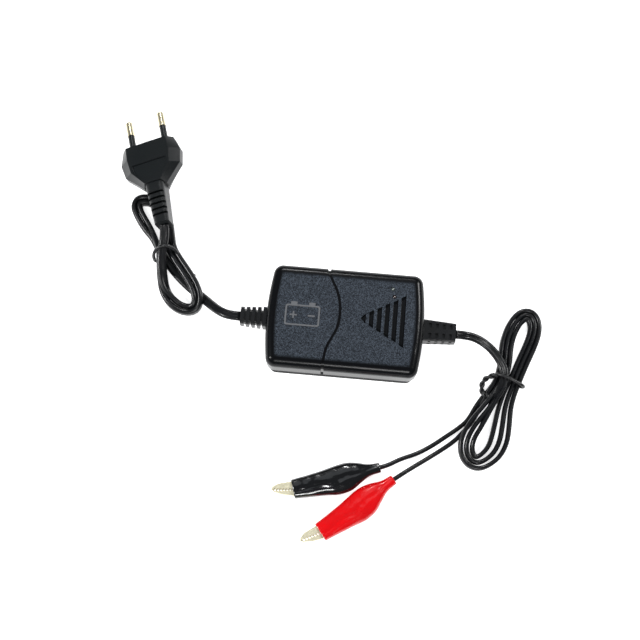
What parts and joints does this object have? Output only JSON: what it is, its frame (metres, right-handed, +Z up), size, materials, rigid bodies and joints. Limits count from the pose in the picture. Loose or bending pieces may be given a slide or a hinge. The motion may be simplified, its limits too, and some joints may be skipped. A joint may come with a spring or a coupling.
{
  "type": "car battery charger",
  "caption": "Small black battery charger: two-shell case between a tied mains lead with a flat two-pin plug and a tied output lead ending in black and red sprung clips.",
  "frame": {"origin": "middle of the case's underside, on the surface that it stands on", "axes": "+X along the case towards the output lead, +Y towards the side where the mains plug lies, +Z up"},
  "size_m": [0.2352, 0.225, 0.0255],
  "materials": {
    "case_plastic": "fine-grained moulded top, smooth glossy edges, black",
    "screw_steel": "zinc plated",
    "board": "tan fibre board",
    "ferrite": "sintered, dull",
    "bobbin_plastic": "black moulding",
    "winding_tape": "yellow polyester tape over copper wire",
    "capacitor_sleeve": "shrunk sleeve on an aluminium can",
    "fuse_body": "lacquered body",
    "component_black": "moulded epoxy",
    "ceramic_blue": "dipped blue lacquer",
    "heat_sink_metal": "plain sheet",
    "resistor_body": "lacquered body",
    "led_green": "clear tinted dome",
    "led_red": "tinted dome",
    "wire_insulation": "PVC insulation",
    "relief_rubber": "moulded PVC, semi-matt",
    "plug_plastic": "moulded PVC, satin",
    "pin_metal": "nickel-washed brass",
    "lead_sheath": "black PVC, glossy",
    "output_sheath": "black PVC figure-eight, glossy",
    "tie_plastic": "black plastic over wire",
    "clip_steel": "nickel-plated sheet steel",
    "rivet_steel": "plated",
    "spring_steel": "drawn wire",
    "boot_black": "glossy soft PVC sleeve, black",
    "boot_red": "glossy soft PVC sleeve, bright red"
  },
  "bodies": {
    "charger": {"upper_shell": "case_plastic", "lower_shell": "case_plastic", "case_screws": "screw_steel", "circuit_board": "board", "transformer_core": "ferrite", "transformer_bobbin": "bobbin_plastic", "transformer_winding": "winding_tape", "input_capacitor": "capacitor_sleeve", "output_capacitor": "capacitor_sleeve", "mains_fuse": "fuse_body", "rectifier_diodes": "component_black", "safety_capacitor": "ceramic_blue", "switching_transistor": "component_black", "heat_sink": "heat_sink_metal", "optocoupler": "component_black", "output_rectifier": "component_black", "resistors": "resistor_body", "charge_led": "led_green", "power_led": "led_red", "mains_wires": "wire_insulation", "output_wires": "wire_insulation", "mains_strain_relief": "relief_rubber", "dc_strain_relief": "relief_rubber", "plug_body": "plug_plastic", "pin_sleeves": "plug_plastic", "plug_pins": "pin_metal", "mains_lead": "lead_sheath", "mains_lead_end": "lead_sheath", "mains_hank": "lead_sheath", "mains_tie": "tie_plastic", "dc_lead": "output_sheath", "dc_hank": "output_sheath", "dc_tie": "tie_plastic", "black_lead": "output_sheath", "red_lead": "output_sheath", "black_fixed_jaw": "clip_steel", "black_rivet": "rivet_steel", "black_spring": "spring_steel", "black_boot": "boot_black", "red_fixed_jaw": "clip_steel", "red_rivet": "rivet_steel", "red_spring": "spring_steel", "red_boot": "boot_red"},
    "black_clip_jaw": {"black_moving_jaw": "clip_steel"},
    "red_clip_jaw": {"red_moving_jaw": "clip_steel"}
  },
  "joints": [
    {"name": "black_clip_opening", "type": "hinge", "parent": "charger", "child": "black_clip_jaw", "pos_m": [-0.00371, -0.08161, 0.005], "axis": [0, 0, 1], "range_deg": [0, 25], "stiffness_Nm_per_rad": 0.02, "springref_deg": -20.05, "deforming": ["black_boot", "black_spring"]},
    {"name": "red_clip_opening", "type": "hinge", "parent": "charger", "child": "red_clip_jaw", "pos_m": [0.00929, -0.09648, 0.005], "axis": [0, 0, 1], "range_deg": [0, 25], "stiffness_Nm_per_rad": 0.02, "springref_deg": -20.05, "deforming": ["red_boot", "red_spring"]}
  ]
}
